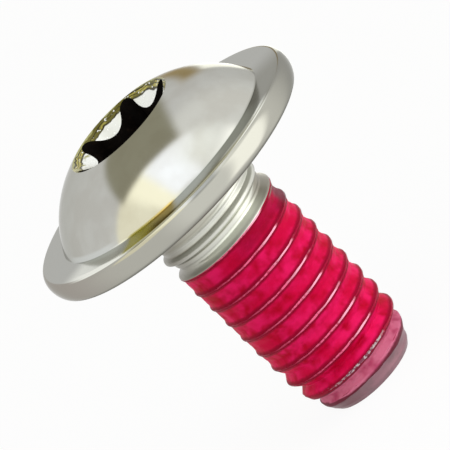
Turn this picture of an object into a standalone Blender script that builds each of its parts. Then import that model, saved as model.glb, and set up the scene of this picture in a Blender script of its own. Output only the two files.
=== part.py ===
"""Dome-head flanged bolt, M6 x 1.0, with a six-lobe socket and a coated thread.

The bolt stands on its flat end with the head up. The axis is the Z axis, and
the end face is at Z = 0. "Depth" always means the distance below the seat,
which is the flat underside of the flange.

The solids are formed in millimetres, where the booleans are well conditioned,
and each finished solid is then scaled to metres.
"""

import math

import bmesh
import bpy
import numpy as np
from mathutils import Matrix

# One millimetre in the unit that the solids are formed in, and that unit in metres
MM = 1.0
METRES_PER_UNIT = 1 / (1000 * MM)

# Overall
LENGTH_UNDER_HEAD = 12.70 * MM
HEAD_SEGMENTS = 72

# Thread: metric coarse, 60 degree form
PITCH = 1.00 * MM
MAJOR_RADIUS = 2.985 * MM
THREAD_DEPTH = 0.598 * MM
CREST_WIDTH = 0.125 * MM
FLANK_ANGLE = math.radians(30.0)
THREAD_SEGMENTS = 36
# Depth at which the first full crest faces the front (-Y)
FRONT_CREST_DEPTH = 3.026 * MM

# Neck and thread run-out under the head
NECK_RECESS = 0.225 * MM
SEAT_FILLET = 0.24 * MM
CREST_RUNOUT_START = 0.85 * MM
CREST_RUNOUT_LENGTH = 1.45 * MM
ROOT_RUNOUT_START = 1.20 * MM
SHALLOW_ROOT_LENGTH = 1.60 * MM
SHALLOW_ROOT_RECESS = 0.07 * MM
STEEP_ROOT_LENGTH = 0.40 * MM

# Point at the free end: how far its radius lies inside the crest, and where
END_FACE_RECESS = 0.825 * MM
POINT_LOWER_RECESS = 0.665 * MM
POINT_LOWER_HEIGHT = 0.22 * MM
POINT_MIDDLE_RECESS = 0.535 * MM
POINT_MIDDLE_HEIGHT = 0.58 * MM
POINT_LENGTH = 1.86 * MM

# Flange
FLANGE_RADIUS = 7.36 * MM
FLANGE_THICKNESS = 1.16 * MM
SEAT_EDGE_INSET = 0.36 * MM
TOP_EDGE_INSET = 0.28 * MM
WIDEST_HEIGHT = 0.68 * MM

# Dome: an arc whose centre lies off the axis
DOME_BASE_RADIUS = 5.90 * MM
DOME_ARC_RADIUS = 5.353 * MM
DOME_ARC_CENTRE_RADIUS = 1.140 * MM
DOME_ARC_CENTRE_DROP = 1.329 * MM
DOME_STEPS = 14

# Six-lobe socket, size 30
SOCKET_OUTER_WIDTH = 5.60 * MM
SOCKET_INNER_WIDTH = 3.95 * MM
LOBE_RADIUS = 0.45 * MM
SOCKET_DEPTH = 2.30 * MM
SOCKET_FLOOR_CONE = 0.45 * MM
SOCKET_FLOOR_INSET = 0.14 * MM
SOCKET_MOUTH_CLEARANCE = 0.06 * MM
SOCKET_MOUTH_ANGLE = math.radians(39.5)
SOCKET_TURN = math.radians(10.0)
LOBE_STEPS = 4
RIDGE_STEPS = 5

# Thread coating, a solid ribbon that fills the groove
COATING_CLEARANCE = 0.020 * MM
COATING_EDGE_RECESS = 0.145 * MM
COATING_CROWN_RECESS = 0.085 * MM
COATING_BARE_END = 0.674 * MM
COATING_POINT_RECESS = 0.030 * MM
COATING_TAPER_STEPS = 4

# How far a cutter or a joined solid runs past the face that it meets
OVERRUN = 0.50 * MM

# Values that follow from the sizes above
SEAT_Z = LENGTH_UNDER_HEAD
ROOT_RADIUS = MAJOR_RADIUS - THREAD_DEPTH
NECK_RADIUS = MAJOR_RADIUS - NECK_RECESS
CREST_HALF_WIDTH = CREST_WIDTH / 2
ROOT_HALF_WIDTH = PITCH / 2 - CREST_HALF_WIDTH - THREAD_DEPTH * math.tan(FLANK_ANGLE)
FRONT_ANGLE = -math.pi / 2
SEAT_RADIUS = FLANGE_RADIUS - SEAT_EDGE_INSET
FLANGE_TOP_RADIUS = FLANGE_RADIUS - TOP_EDGE_INSET
SOCKET_OUTER_RADIUS = SOCKET_OUTER_WIDTH / 2
SOCKET_INNER_RADIUS = SOCKET_INNER_WIDTH / 2
SOCKET_MOUTH_RADIUS = SOCKET_OUTER_RADIUS + SOCKET_MOUTH_CLEARANCE
TURNS_BELOW_CREST = math.ceil((LENGTH_UNDER_HEAD - FRONT_CREST_DEPTH) / PITCH)


def clear_objects():
    """Remove every object of the open file."""
    for obj in list(bpy.data.objects):
        bpy.data.objects.remove(obj, do_unlink=True)


def make_object(name, vertices, faces):
    """Make an object with outward normals from vertices and faces."""
    mesh = bpy.data.meshes.new(name)
    mesh.from_pydata([tuple(float(c) for c in v) for v in vertices], [], faces)
    work = bmesh.new()
    work.from_mesh(mesh)
    bmesh.ops.recalc_face_normals(work, faces=work.faces)
    work.to_mesh(mesh)
    work.free()
    obj = bpy.data.objects.new(name, mesh)
    bpy.context.scene.collection.objects.link(obj)
    return obj


def revolve(name, profile, segments):
    """Turn a profile of (radius, height) points, both ends on the axis, round Z."""
    vertices = [(0.0, 0.0, profile[0][1])]
    rings = profile[1:-1]
    angles = 2 * math.pi * np.arange(segments) / segments
    for radius, height in rings:
        for angle in angles:
            vertices.append((radius * math.cos(angle), radius * math.sin(angle), height))
    vertices.append((0.0, 0.0, profile[-1][1]))
    last = len(vertices) - 1
    faces = []
    for i in range(segments):
        j = (i + 1) % segments
        faces.append((0, 1 + j, 1 + i))
        for row in range(len(rings) - 1):
            low = 1 + row * segments
            high = low + segments
            faces.append((low + i, low + j, high + j, high + i))
        top = 1 + (len(rings) - 1) * segments
        faces.append((top + i, top + j, last))
    return make_object(name, vertices, faces)


def crest_radius(depth):
    """Crest radius at a depth: the neck's near the head, then the full crest."""
    return np.interp(
        depth,
        [CREST_RUNOUT_START, CREST_RUNOUT_START + CREST_RUNOUT_LENGTH],
        [NECK_RADIUS, MAJOR_RADIUS],
    )


def root_radius(depth):
    """Root radius at a depth: the neck's, then a shallow groove, then the full root."""
    shallow_end = ROOT_RUNOUT_START + SHALLOW_ROOT_LENGTH
    return np.interp(
        depth,
        [ROOT_RUNOUT_START, shallow_end, shallow_end + STEEP_ROOT_LENGTH],
        [NECK_RADIUS, NECK_RADIUS - SHALLOW_ROOT_RECESS, ROOT_RADIUS],
    )


def point_profile():
    """Profile of the rolled point, as (radius, height) from the end face upwards."""
    return [
        (MAJOR_RADIUS - END_FACE_RECESS, 0.0),
        (MAJOR_RADIUS - POINT_LOWER_RECESS, POINT_LOWER_HEIGHT),
        (MAJOR_RADIUS - POINT_MIDDLE_RECESS, POINT_MIDDLE_HEIGHT),
        (MAJOR_RADIUS, POINT_LENGTH),
    ]


def point_radius(height):
    """Radius of the rolled point at a height above the end face."""
    radii, heights = zip(*point_profile())
    return np.interp(height, heights, radii)


def thread_rod(name):
    """Sweep one pitch of the thread form up a right-hand helix, as a closed rod."""
    n = THREAD_SEGMENTS
    root_edge = PITCH / 2 - ROOT_HALF_WIDTH
    offsets = [-CREST_HALF_WIDTH, CREST_HALF_WIDTH, root_edge, PITCH - root_edge]
    is_crest = [True, True, False, False]
    spare_turns = 2
    # The helix passes the front at a crest, and starts below the end face
    first_turn = TURNS_BELOW_CREST + spare_turns
    base = SEAT_Z - FRONT_CREST_DEPTH - PITCH * first_turn
    turns = first_turn + math.ceil(FRONT_CREST_DEPTH / PITCH)
    count = n * turns
    vertices = []
    index = {}

    def add(step, k):
        """Place one point of the form at one step of the helix."""
        angle = FRONT_ANGLE + 2 * math.pi * step / n
        height = base + PITCH * step / n + offsets[k]
        depth = SEAT_Z - height
        radius = crest_radius(depth) if is_crest[k] else root_radius(depth)
        index[(step, k)] = len(vertices)
        vertices.append((radius * math.cos(angle), radius * math.sin(angle), height))

    forms = len(offsets)
    for step in range(count + 1):
        for k in range(forms):
            add(step, k)
    for step in range(count + 1, count + n + 1):
        add(step, 0)

    def at(step, k):
        """Index of a form point, where one past the last is the next turn's first."""
        return index[(step + n, 0)] if k == forms else index[(step, k)]

    faces = []
    for step in range(count):
        for k in range(forms):
            faces.append((at(step, k), at(step + 1, k), at(step + 1, k + 1), at(step, k + 1)))
    low_loop = [index[(s, 0)] for s in range(n + 1)]
    low_loop += [index[(0, k)] for k in range(forms - 1, 0, -1)]
    high_loop = [index[(s, 0)] for s in range(count, count + n + 1)]
    high_loop += [index[(count, k)] for k in range(forms - 1, 0, -1)]
    top = base + PITCH * (turns + spare_turns)
    for loop, height in ((low_loop, base - PITCH), (high_loop, top)):
        centre = len(vertices)
        vertices.append((0.0, 0.0, height))
        for a, b in zip(loop, loop[1:] + loop[:1]):
            faces.append((a, b, centre))
    return make_object(name, vertices, faces)


def boolean(target, other, operation):
    """Apply an exact boolean to the target and remove the other object."""
    other.hide_render = True
    other.display_type = "WIRE"
    modifier = target.modifiers.new(operation.title(), "BOOLEAN")
    modifier.operation = operation
    modifier.solver = "EXACT"
    modifier.object = other
    graph = bpy.context.evaluated_depsgraph_get()
    result = bpy.data.meshes.new_from_object(target.evaluated_get(graph))
    target.modifiers.clear()
    target.data = result
    bpy.data.objects.remove(other, do_unlink=True)


def dome_point(share):
    """Point of the dome's arc, from its base at share 0 to the socket mouth at share 1."""
    low = math.acos((DOME_BASE_RADIUS - DOME_ARC_CENTRE_RADIUS) / DOME_ARC_RADIUS)
    high = math.acos((SOCKET_MOUTH_RADIUS - DOME_ARC_CENTRE_RADIUS) / DOME_ARC_RADIUS)
    angle = low + (high - low) * share
    radius = DOME_ARC_CENTRE_RADIUS + DOME_ARC_RADIUS * math.cos(angle)
    height = DOME_ARC_RADIUS * math.sin(angle) - DOME_ARC_CENTRE_DROP
    return radius, SEAT_Z + height


def head_profile():
    """Profile of the flange and dome, from the axis below the seat to the axis on top."""
    under = NECK_RADIUS + SEAT_FILLET
    below = 2 * SEAT_FILLET
    points = [(0.0, SEAT_Z - below), (under - below, SEAT_Z - below), (under, SEAT_Z)]
    points.append((SEAT_RADIUS, SEAT_Z))
    for angle in np.radians([25.0, 50.0, 75.0]):
        radius = SEAT_RADIUS + SEAT_EDGE_INSET * math.sin(angle)
        points.append((radius, SEAT_Z + WIDEST_HEIGHT * (1 - math.cos(angle))))
    points.append((FLANGE_RADIUS, SEAT_Z + WIDEST_HEIGHT))
    for angle in np.radians([30.0, 60.0]):
        radius = FLANGE_TOP_RADIUS + TOP_EDGE_INSET * math.cos(angle)
        rise = (FLANGE_THICKNESS - WIDEST_HEIGHT) * math.sin(angle)
        points.append((radius, SEAT_Z + WIDEST_HEIGHT + rise))
    points.append((FLANGE_TOP_RADIUS, SEAT_Z + FLANGE_THICKNESS))
    for share in np.linspace(0.0, 1.0, DOME_STEPS):
        points.append(dome_point(share))
    points.append((0.0, dome_point(1.0)[1]))
    return points


def six_lobe_outline():
    """Outline of the socket: six outward lobes joined by six tangent inward ridges."""
    lobe_centre = SOCKET_OUTER_RADIUS - LOBE_RADIUS
    # The ridge arc touches the lobe arc, which fixes its radius
    half = math.cos(math.pi / 6)
    a = SOCKET_INNER_RADIUS
    b = lobe_centre
    top = a * a + b * b - 2 * a * b * half - LOBE_RADIUS**2
    ridge = top / (2 * (LOBE_RADIUS - a + b * half))
    ridge_centre = a + ridge
    offset = ridge_centre * np.array([half, math.sin(math.pi / 6)]) - np.array([b, 0.0])
    contact = math.atan2(offset[1], offset[0])
    points = []
    for k in range(6):
        turn = SOCKET_TURN + k * math.pi / 3
        for angle in np.linspace(-contact, contact, 2 * LOBE_STEPS + 1):
            x = lobe_centre + LOBE_RADIUS * math.cos(angle)
            y = LOBE_RADIUS * math.sin(angle)
            points.append((math.hypot(x, y), math.atan2(y, x) + turn))
        spread = contact - math.pi / 6
        for angle in np.linspace(-spread, spread, RIDGE_STEPS + 2)[1:-1]:
            x = ridge_centre - ridge * math.cos(angle)
            y = ridge * math.sin(angle)
            points.append((math.hypot(x, y), math.atan2(y, x) + turn + math.pi / 6))
    return [(r * math.cos(t), r * math.sin(t)) for r, t in points]


def prism(name, outline, low, high):
    """Extrude an outline between two heights."""
    count = len(outline)
    vertices = [(x, y, low) for x, y in outline] + [(x, y, high) for x, y in outline]
    faces = [tuple(range(count))[::-1], tuple(range(count, 2 * count))]
    for i in range(count):
        j = (i + 1) % count
        faces.append((i, j, count + j, count + i))
    return make_object(name, vertices, faces)


def trim_point(bolt):
    """Cut the swept rod to the rolled point and the flat end face."""
    reach = SEAT_Z + OVERRUN
    wide = MAJOR_RADIUS + 2 * OVERRUN
    # The last cone of the point carries on past the crest at its own slope
    lower, upper = point_profile()[-2:]
    slope = (upper[1] - lower[1]) / (upper[0] - lower[0])
    profile = [(0.0, 0.0)] + point_profile()
    profile += [(wide, POINT_LENGTH + slope * (wide - MAJOR_RADIUS)), (wide, reach), (0.0, reach)]
    boolean(bolt, revolve("point_envelope", profile, HEAD_SEGMENTS), "INTERSECT")


def cut_socket(bolt):
    """Cut the six-lobe socket, its conical mouth and its drilled floor."""
    top = dome_point(1.0)[1]
    floor = top - SOCKET_DEPTH
    lobes = prism("socket_lobes", six_lobe_outline(), floor, top + OVERRUN)
    boolean(bolt, lobes, "DIFFERENCE")
    fall = math.tan(SOCKET_MOUTH_ANGLE)
    low_radius = SOCKET_INNER_RADIUS - SOCKET_FLOOR_INSET
    low = top - (SOCKET_MOUTH_RADIUS - low_radius) * fall
    high_radius = SOCKET_MOUTH_RADIUS + OVERRUN / fall
    mouth = [(0.0, low), (low_radius, low), (high_radius, top + OVERRUN), (0.0, top + OVERRUN)]
    boolean(bolt, revolve("socket_mouth", mouth, HEAD_SEGMENTS), "DIFFERENCE")
    drill = [(0.0, floor - SOCKET_FLOOR_CONE), (low_radius, floor)]
    drill += [(low_radius, floor + OVERRUN), (0.0, floor + OVERRUN)]
    boolean(bolt, revolve("socket_floor", drill, HEAD_SEGMENTS // 2), "DIFFERENCE")


def make_bolt():
    """The bolt: rolled thread and point, head, and socket, as one solid."""
    bolt = thread_rod("bolt")
    trim_point(bolt)
    boolean(bolt, revolve("head", head_profile(), HEAD_SEGMENTS), "UNION")
    cut_socket(bolt)
    return bolt


def groove_half_width(radius, root):
    """Half the width of the groove at a radius, between its root and the crest."""
    widening = PITCH / 2 - CREST_HALF_WIDTH - ROOT_HALF_WIDTH
    return ROOT_HALF_WIDTH + widening * (radius - root) / (MAJOR_RADIUS - root)


def coating_section(depth, share):
    """Section of the coating at a depth, as (offset up the axis, radius) points."""
    limit = float(point_radius(SEAT_Z - depth)) - COATING_POINT_RECESS
    edge_top = min(MAJOR_RADIUS - COATING_EDGE_RECESS, limit - COATING_POINT_RECESS)
    crown_top = min(MAJOR_RADIUS - COATING_CROWN_RECESS, limit)
    gap = COATING_CLEARANCE / math.cos(FLANK_ANGLE)
    lows = []
    edges = []
    for side in (-1, 1):
        root = float(root_radius(depth - side * ROOT_HALF_WIDTH))
        low = root + COATING_CLEARANCE
        edge = low + (edge_top - low) * share
        lows.append((side * (groove_half_width(low, root) - gap), low))
        edges.append((side * (groove_half_width(edge, root) - gap), edge))
    middle = (lows[0][1] + lows[1][1]) / 2
    crown = middle + (crown_top - middle) * share
    shoulders = [(offset / 2, edge + 0.75 * (crown - edge)) for offset, edge in edges]
    return [lows[0], lows[1], edges[1], shoulders[1], (0.0, crown), shoulders[0], edges[0]]


def make_coating():
    """The coating: a ribbon along the groove with a gently crowned outer face."""
    n = THREAD_SEGMENTS
    coated = LENGTH_UNDER_HEAD - FRONT_CREST_DEPTH - COATING_BARE_END
    steps = round(n * coated / PITCH)
    vertices = []
    size = 0
    for step in range(steps + 1):
        # The ribbon starts at the back, half a turn before the front groove
        depth = FRONT_CREST_DEPTH + PITCH * step / n
        angle = FRONT_ANGLE + math.pi - 2 * math.pi * step / n
        height = SEAT_Z - depth
        from_end = min(step, steps - step) / COATING_TAPER_STEPS
        section = coating_section(depth, min(1.0, 0.35 + 0.65 * from_end))
        for offset, radius in section:
            vertices.append((radius * math.cos(angle), radius * math.sin(angle), height + offset))
        size = len(section)
    faces = []
    for step in range(steps):
        for k in range(size):
            j = (k + 1) % size
            a = step * size
            b = a + size
            faces.append((a + k, a + j, b + j, b + k))
    faces.append(tuple(range(size)))
    faces.append(tuple(range(steps * size, (steps + 1) * size))[::-1])
    return make_object("threadlock_coating", vertices, faces)


def to_metres(obj):
    """Scale an object's mesh from millimetres to metres."""
    obj.data.transform(Matrix.Scale(METRES_PER_UNIT, 4))


def dress(obj, colour, metallic, roughness, sharp_degrees):
    """Give an object its own material and smooth shading with sharp edges kept."""
    material = bpy.data.materials.new(obj.name + "_material")
    material.use_nodes = True
    shader = material.node_tree.nodes["Principled BSDF"]
    shader.inputs["Base Color"].default_value = colour
    shader.inputs["Metallic"].default_value = metallic
    shader.inputs["Roughness"].default_value = roughness
    obj.data.materials.clear()
    obj.data.materials.append(material)
    obj.data.polygons.foreach_set("use_smooth", [True] * len(obj.data.polygons))
    obj.data.set_sharp_from_angle(angle=math.radians(sharp_degrees))


def main():
    """Build both pieces of the coated bolt."""
    clear_objects()
    bolt = make_bolt()
    to_metres(bolt)
    dress(bolt, (0.50, 0.49, 0.45, 1.0), 1.0, 0.25, 25.0)
    coating = make_coating()
    to_metres(coating)
    dress(coating, (0.70, 0.01, 0.08, 1.0), 0.0, 0.45, 35.0)


main()
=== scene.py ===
"""A dome-head flanged exhaust bolt, dressed for a plain studio picture.

The bolt stands on its end with the head up. Sizes are in millimetres here and
become metres when a mesh is made. The front is the -Y side. An azimuth is
measured from the front towards +X, in degrees. A depth is the distance below
the seat, which is the flat underside of the flange.
"""

import logging
import math
from dataclasses import dataclass, field
from enum import Enum

import bmesh
import bpy
import numpy as np
from mathutils import Matrix, Vector


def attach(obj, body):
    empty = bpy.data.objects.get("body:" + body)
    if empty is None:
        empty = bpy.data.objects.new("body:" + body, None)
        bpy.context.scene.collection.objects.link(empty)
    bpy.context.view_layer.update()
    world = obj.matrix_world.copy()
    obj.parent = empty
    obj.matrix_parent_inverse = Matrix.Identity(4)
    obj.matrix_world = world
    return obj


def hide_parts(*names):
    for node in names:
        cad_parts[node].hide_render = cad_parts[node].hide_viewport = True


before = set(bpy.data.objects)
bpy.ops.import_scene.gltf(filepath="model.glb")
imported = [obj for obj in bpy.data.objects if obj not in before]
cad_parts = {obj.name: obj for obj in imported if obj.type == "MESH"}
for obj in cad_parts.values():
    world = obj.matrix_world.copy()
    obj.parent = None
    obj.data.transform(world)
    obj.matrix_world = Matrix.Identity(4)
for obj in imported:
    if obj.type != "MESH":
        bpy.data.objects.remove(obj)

LOG = logging.getLogger("exhaust_bolt")
Socket = bpy.types.NodeSocket
MM = 0.001
SEAT_HEIGHT = 12.70
WHITE = (1.0, 1.0, 1.0, 1.0)
MERGE_DISTANCE = 0.0005
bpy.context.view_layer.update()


class Surface(Enum):
    """Named stretches of the bolt's skin, in the order of its material slots."""

    HEAD = 0
    MOUTH = 1
    SOCKET = 2
    NECK = 3
    THREAD = 4
    POINT = 5


def smooth_step(value: np.ndarray, low: float, high: float) -> np.ndarray:
    """Rise smoothly from 0 at low to 1 at high.

    Args:
        value: The values to look up.
        low: Where the rise starts.
        high: Where the rise ends.

    Returns:
        The cubic 3t^2 - 2t^3 of the clipped share of the way.
    """
    share = np.clip((value - low) / (high - low), 0.0, 1.0)
    return share * share * (3.0 - 2.0 * share)


def ripple(azimuth: np.ndarray, along: np.ndarray, seed: int, waves: int = 9) -> np.ndarray:
    """Give an irregular ripple that closes after one turn.

    The value is a sum of sines. Each has 3 to 23 whole waves in a turn, turns
    by up to 7 radians in a millimetre along the axis, and starts at its own
    phase. All three are drawn from one seeded source.

    Args:
        azimuth: Azimuth in degrees.
        along: Distance along the axis in millimetres.
        seed: Seed of the draws.
        waves: How many sines are summed.

    Returns:
        Values that mostly lie between -1 and 1.
    """
    draw = np.random.default_rng(seed)
    turn = np.radians(azimuth)
    total = np.zeros(np.broadcast(azimuth, along).shape)
    for _ in range(waves):
        around = draw.integers(3, 24)
        rise = draw.uniform(-7.0, 7.0)
        total += np.sin(around * turn + rise * along + draw.uniform(0.0, math.tau))
    return total / math.sqrt(2.0 * waves)


def grid_faces(rows: int, columns: int, closed: bool = True) -> np.ndarray:
    """List the quads of a grid of points.

    Args:
        rows: Number of rows of points.
        columns: Number of points in each row.
        closed: Whether the last column is joined to the first.

    Returns:
        An array of quads of point indices, one quad in each row.
    """
    steps = columns if closed else columns - 1
    j, i = np.meshgrid(np.arange(rows - 1) * columns, np.arange(steps), indexing="ij")
    after = (i + 1) % columns
    quads = np.stack([j + i, j + after, j + columns + after, j + columns + i], axis=-1)
    return quads.reshape(-1, 4)


def ring_points(azimuth: np.ndarray, radius: np.ndarray, height: np.ndarray | float) -> np.ndarray:
    """Turn azimuth, radius and height into points.

    Args:
        azimuth: Azimuths in degrees, of each column or of each row.
        radius: Radii, rows by columns.
        height: Heights, rows by columns, or one height for all.

    Returns:
        Points, one in each row, in millimetres.
    """
    turn = np.radians(azimuth)
    x = radius * np.sin(turn)
    y = -radius * np.cos(turn)
    return np.stack([x, y, np.broadcast_to(height, x.shape)], axis=-1).reshape(-1, 3)


def wrapped(azimuth: np.ndarray) -> np.ndarray:
    """Bring azimuths of any turn between -180 and 180 degrees."""
    return (azimuth + 180.0) % 360.0 - 180.0


def make_piece(name: str, points: np.ndarray, faces: list, slots: np.ndarray) -> bpy.types.Object:
    """Make a piece at the origin from points in millimetres.

    Points that fall together are merged, and the normals are then recalculated.

    Args:
        name: Name of the piece.
        points: Array of points, one row each, in millimetres.
        faces: Faces as lists of point indices.
        slots: Material slot of each face.

    Returns:
        The new object, smooth and linked to the scene.
    """
    mesh = bpy.data.meshes.new(name)
    mesh.from_pydata((points * MM).tolist(), [], faces)
    mesh.polygons.foreach_set("material_index", slots.astype(np.int32))
    work = bmesh.new()
    work.from_mesh(mesh)
    bmesh.ops.remove_doubles(work, verts=work.verts, dist=MERGE_DISTANCE * MM)
    bmesh.ops.recalc_face_normals(work, faces=work.faces)
    work.to_mesh(mesh)
    work.free()
    mesh.polygons.foreach_set("use_smooth", np.ones(len(mesh.polygons), dtype=bool))
    piece = bpy.data.objects.new(name, mesh)
    bpy.context.scene.collection.objects.link(piece)
    return piece


@dataclass(frozen=True)
class Lap:
    """A small fold or dip that the rolling left round the neck.

    Attributes:
        depth: Its depth at the front.
        rise: How far it stands out, or lies in where negative.
        width: Half its width.
        start: Azimuth where it begins to show.
        end: Azimuth where it has faded.
        fade: Degrees over which it comes and goes.
    """

    depth: float
    rise: float
    width: float
    start: float = -150.0
    end: float = 150.0
    fade: float = 30.0

    def height(self, azimuth: np.ndarray, front_depth: np.ndarray) -> np.ndarray:
        """Give the lap's rise: a bell across it, faded out at both of its ends.

        Args:
            azimuth: Azimuth in degrees.
            front_depth: Depth after the helix is unwound to the front.

        Returns:
            The rise in millimetres.
        """
        bell = np.exp(-(((front_depth - self.depth) / self.width) ** 2))
        shown = smooth_step(azimuth, self.start, self.start + self.fade)
        shown = shown * (1.0 - smooth_step(azimuth, self.end - self.fade, self.end))
        return self.rise * bell * shown


@dataclass(frozen=True)
class Shank:
    """The rolled shank: plain neck, thread run-out, full thread and point."""

    length: float = SEAT_HEIGHT
    pitch: float = 1.00
    major: float = 3.00
    thread_depth: float = 0.613
    crest_width: float = 0.125
    crest_round: float = 0.022
    root_half_width: float = 0.0922
    front_crest_depth: float = 3.026
    neck: float = 2.76
    fillet: float = 0.24
    crest_runout: tuple = (0.85, 2.30)
    root_runout: tuple = (1.20, 2.80, 3.20)
    shallow_root: float = 2.69
    point_heights: tuple = (0.0, 0.22, 0.58, 1.86)
    point_radii: tuple = (2.18, 2.35, 2.475, 3.00)
    lead_down: tuple = (110.0, 180.0)
    laps: tuple = (
        Lap(1.265, 0.030, 0.060, -20.0, 120.0),
        Lap(1.590, 0.055, 0.080),
        Lap(1.810, -0.070, 0.080),
        Lap(2.255, -0.070, 0.085),
        Lap(2.445, 0.045, 0.075),
        Lap(11.96, 0.070, 0.22, -178.0, 178.0),
    )

    def crest_height(self, azimuth: np.ndarray, turn: float) -> np.ndarray:
        """Give a crest's height: one pitch lower for each turn, and up with the azimuth."""
        return self.length - self.front_crest_depth - turn * self.pitch + azimuth / 360 * self.pitch

    def edge_height(self, azimuth: np.ndarray, turn: float) -> np.ndarray:
        """Give a crest's height, led down to the next crest behind the bolt.

        An edge that follows it closes after one turn.

        Args:
            azimuth: Azimuth in degrees.
            turn: Number of the crest.

        Returns:
            The edge's height.
        """
        return self.crest_height(azimuth, turn) - self.pitch * smooth_step(azimuth, *self.lead_down)

    def from_crest(self, azimuth: np.ndarray, height: np.ndarray) -> np.ndarray:
        """Give the distance along the axis to the nearest crest, in pitches from 0 to 0.5."""
        turns = (height - self.crest_height(azimuth, 0.0)) / self.pitch
        return np.abs(turns - np.round(turns))

    def crest_radius(self, depth: np.ndarray) -> np.ndarray:
        """Give the crest radius: the neck's near the head, then the full crest."""
        return np.interp(depth, self.crest_runout, (self.neck, self.major))

    def root_radius(self, depth: np.ndarray) -> np.ndarray:
        """Give the root radius: the neck's, then a shallow groove, then the full root."""
        full = self.major - self.thread_depth
        return np.interp(depth, self.root_runout, (self.neck, self.shallow_root, full))

    def point_radius(self, height: np.ndarray) -> np.ndarray:
        """Give the point's radius at a height above the end face."""
        return np.interp(height, self.point_heights, self.point_radii)

    def radius(self, azimuth: np.ndarray, height: np.ndarray) -> np.ndarray:
        """Give the steel's radius at an azimuth and a height.

        The radius goes from the root's to the crest's by the 60 degree form,
        a flat crest with rounded edges, straight flanks and a flat root. The
        point's cone limits it, and the laps are added.

        Args:
            azimuth: Azimuth in degrees.
            height: Height above the end face.

        Returns:
            The radius in millimetres.
        """
        depth = self.length - height
        away = self.from_crest(azimuth, height) * self.pitch
        flat = self.crest_width / 2
        low = self.pitch / 2 - self.root_half_width
        form = np.interp(
            away,
            (flat - self.crest_round, flat + self.crest_round, low - 0.02, low + 0.02),
            (1.0, 1.0 - self.crest_round / (low - flat), 0.025, 0.0),
        )
        root = self.root_radius(depth)
        radius = root + (self.crest_radius(depth) - root) * form
        radius = np.minimum(radius, self.point_radius(height))
        front_depth = depth + azimuth / 360 * self.pitch
        for lap in self.laps:
            radius = radius + lap.height(azimuth, front_depth)
        return radius


@dataclass(frozen=True)
class Head:
    """The head: flange, dome and six-lobe socket."""

    flange: float = 7.36
    thickness: float = 1.16
    seat: float = 7.00
    widest: float = 0.68
    flat: float = 7.08
    dome_base: float = 5.90
    arc_radius: float = 5.353
    arc_centre: float = 1.140
    arc_drop: float = 1.329
    mouth: float = 2.86
    mouth_slope: float = 0.825
    lobe_reach: float = 2.80
    ridge_reach: float = 1.975
    lobe_radius: float = 0.45
    socket_turn: float = 100.0
    socket_depth: float = 2.30
    drill: float = 1.835
    floor_cone: float = 0.45

    def dome(self, share: np.ndarray) -> tuple[np.ndarray, np.ndarray]:
        """Give the dome's arc as radius and height, from its base to the mouth.

        Args:
            share: Share of the way, 0 at the base and 1 at the mouth.

        Returns:
            Radius and height above the seat.
        """
        low = math.acos((self.dome_base - self.arc_centre) / self.arc_radius)
        high = math.acos((self.mouth - self.arc_centre) / self.arc_radius)
        angle = low + (high - low) * share
        radius = self.arc_centre + self.arc_radius * np.cos(angle)
        return radius, self.arc_radius * np.sin(angle) - self.arc_drop

    def top(self) -> float:
        """Give the height of the socket's mouth above the seat."""
        return float(self.dome(np.array(1.0))[1])

    def socket_floor(self) -> float:
        """Give the height of the socket's floor above the seat."""
        return self.top() - self.socket_depth

    def socket_tip(self) -> float:
        """Give the height of the tip of the floor's cone above the seat."""
        return self.socket_floor() - self.floor_cone

    def socket_radius(self, azimuth: np.ndarray) -> np.ndarray:
        """Give the socket wall's radius round the axis.

        The outline is six outward arcs joined by six tangent inward arcs. It
        is traced once for one sixth of a turn and then looked up by azimuth.

        Args:
            azimuth: Azimuth in degrees.

        Returns:
            The wall's radius.
        """
        half = math.cos(math.pi / 6)
        inner = self.ridge_reach
        centre = self.lobe_reach - self.lobe_radius
        top = inner**2 + centre**2 - 2 * inner * centre * half - self.lobe_radius**2
        ridge = top / (2 * (self.lobe_radius - inner + centre * half))
        ridge_centre = inner + ridge
        contact = math.atan2(ridge_centre * 0.5, ridge_centre * half - centre)
        out = np.linspace(0.0, contact, 60)
        lobe = centre + self.lobe_radius * np.exp(1j * out)
        back = np.linspace(contact - math.pi / 6, 0.0, 60)
        fold = (ridge_centre - ridge * np.exp(1j * back)) * np.exp(1j * math.pi / 6)
        traced = np.concatenate([lobe, fold])
        away = np.abs((azimuth - self.socket_turn + 30.0) % 60.0 - 30.0)
        return np.interp(np.radians(away), np.angle(traced), np.abs(traced))

    def rings(self) -> tuple[np.ndarray, np.ndarray, list]:
        """Trace the head from the neck's fillet to the socket's mouth.

        Returns:
            Radii, heights above the seat, and the surface of each step.
        """
        shank = Shank()
        quarter = np.linspace(0.0, math.pi / 2, 7)
        fillet_r = shank.neck + shank.fillet * (1 - np.cos(quarter))
        fillet_z = -shank.fillet * (1 - np.sin(quarter))
        seat_r = np.linspace(fillet_r[-1], self.seat, 8)[1:]
        low = np.linspace(0.0, math.pi / 2, 13)[1:]
        low_r = self.seat + (self.flange - self.seat) * np.sin(low)
        low_z = self.widest * (1 - np.cos(low))
        high = np.linspace(0.0, math.pi / 2, 11)[1:]
        high_r = self.flat + (self.flange - self.flat) * np.cos(high)
        high_z = self.widest + (self.thickness - self.widest) * np.sin(high)
        flat_r = np.linspace(self.flat, self.dome_base + 0.03, 5)[1:]
        dome_r, dome_z = self.dome(np.linspace(0.012, 1.0, 40))
        radii = np.concatenate([fillet_r, seat_r, low_r, high_r, flat_r, dome_r])
        seat_z = np.zeros(len(seat_r))
        flat_z = np.full(len(flat_r), self.thickness)
        heights = np.concatenate([fillet_z, seat_z, low_z, high_z, flat_z, dome_z])
        fillet_rows = len(quarter) - 1
        surfaces = [Surface.NECK] * fillet_rows + [Surface.HEAD] * (len(radii) - fillet_rows)
        return radii, heights, surfaces


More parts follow.
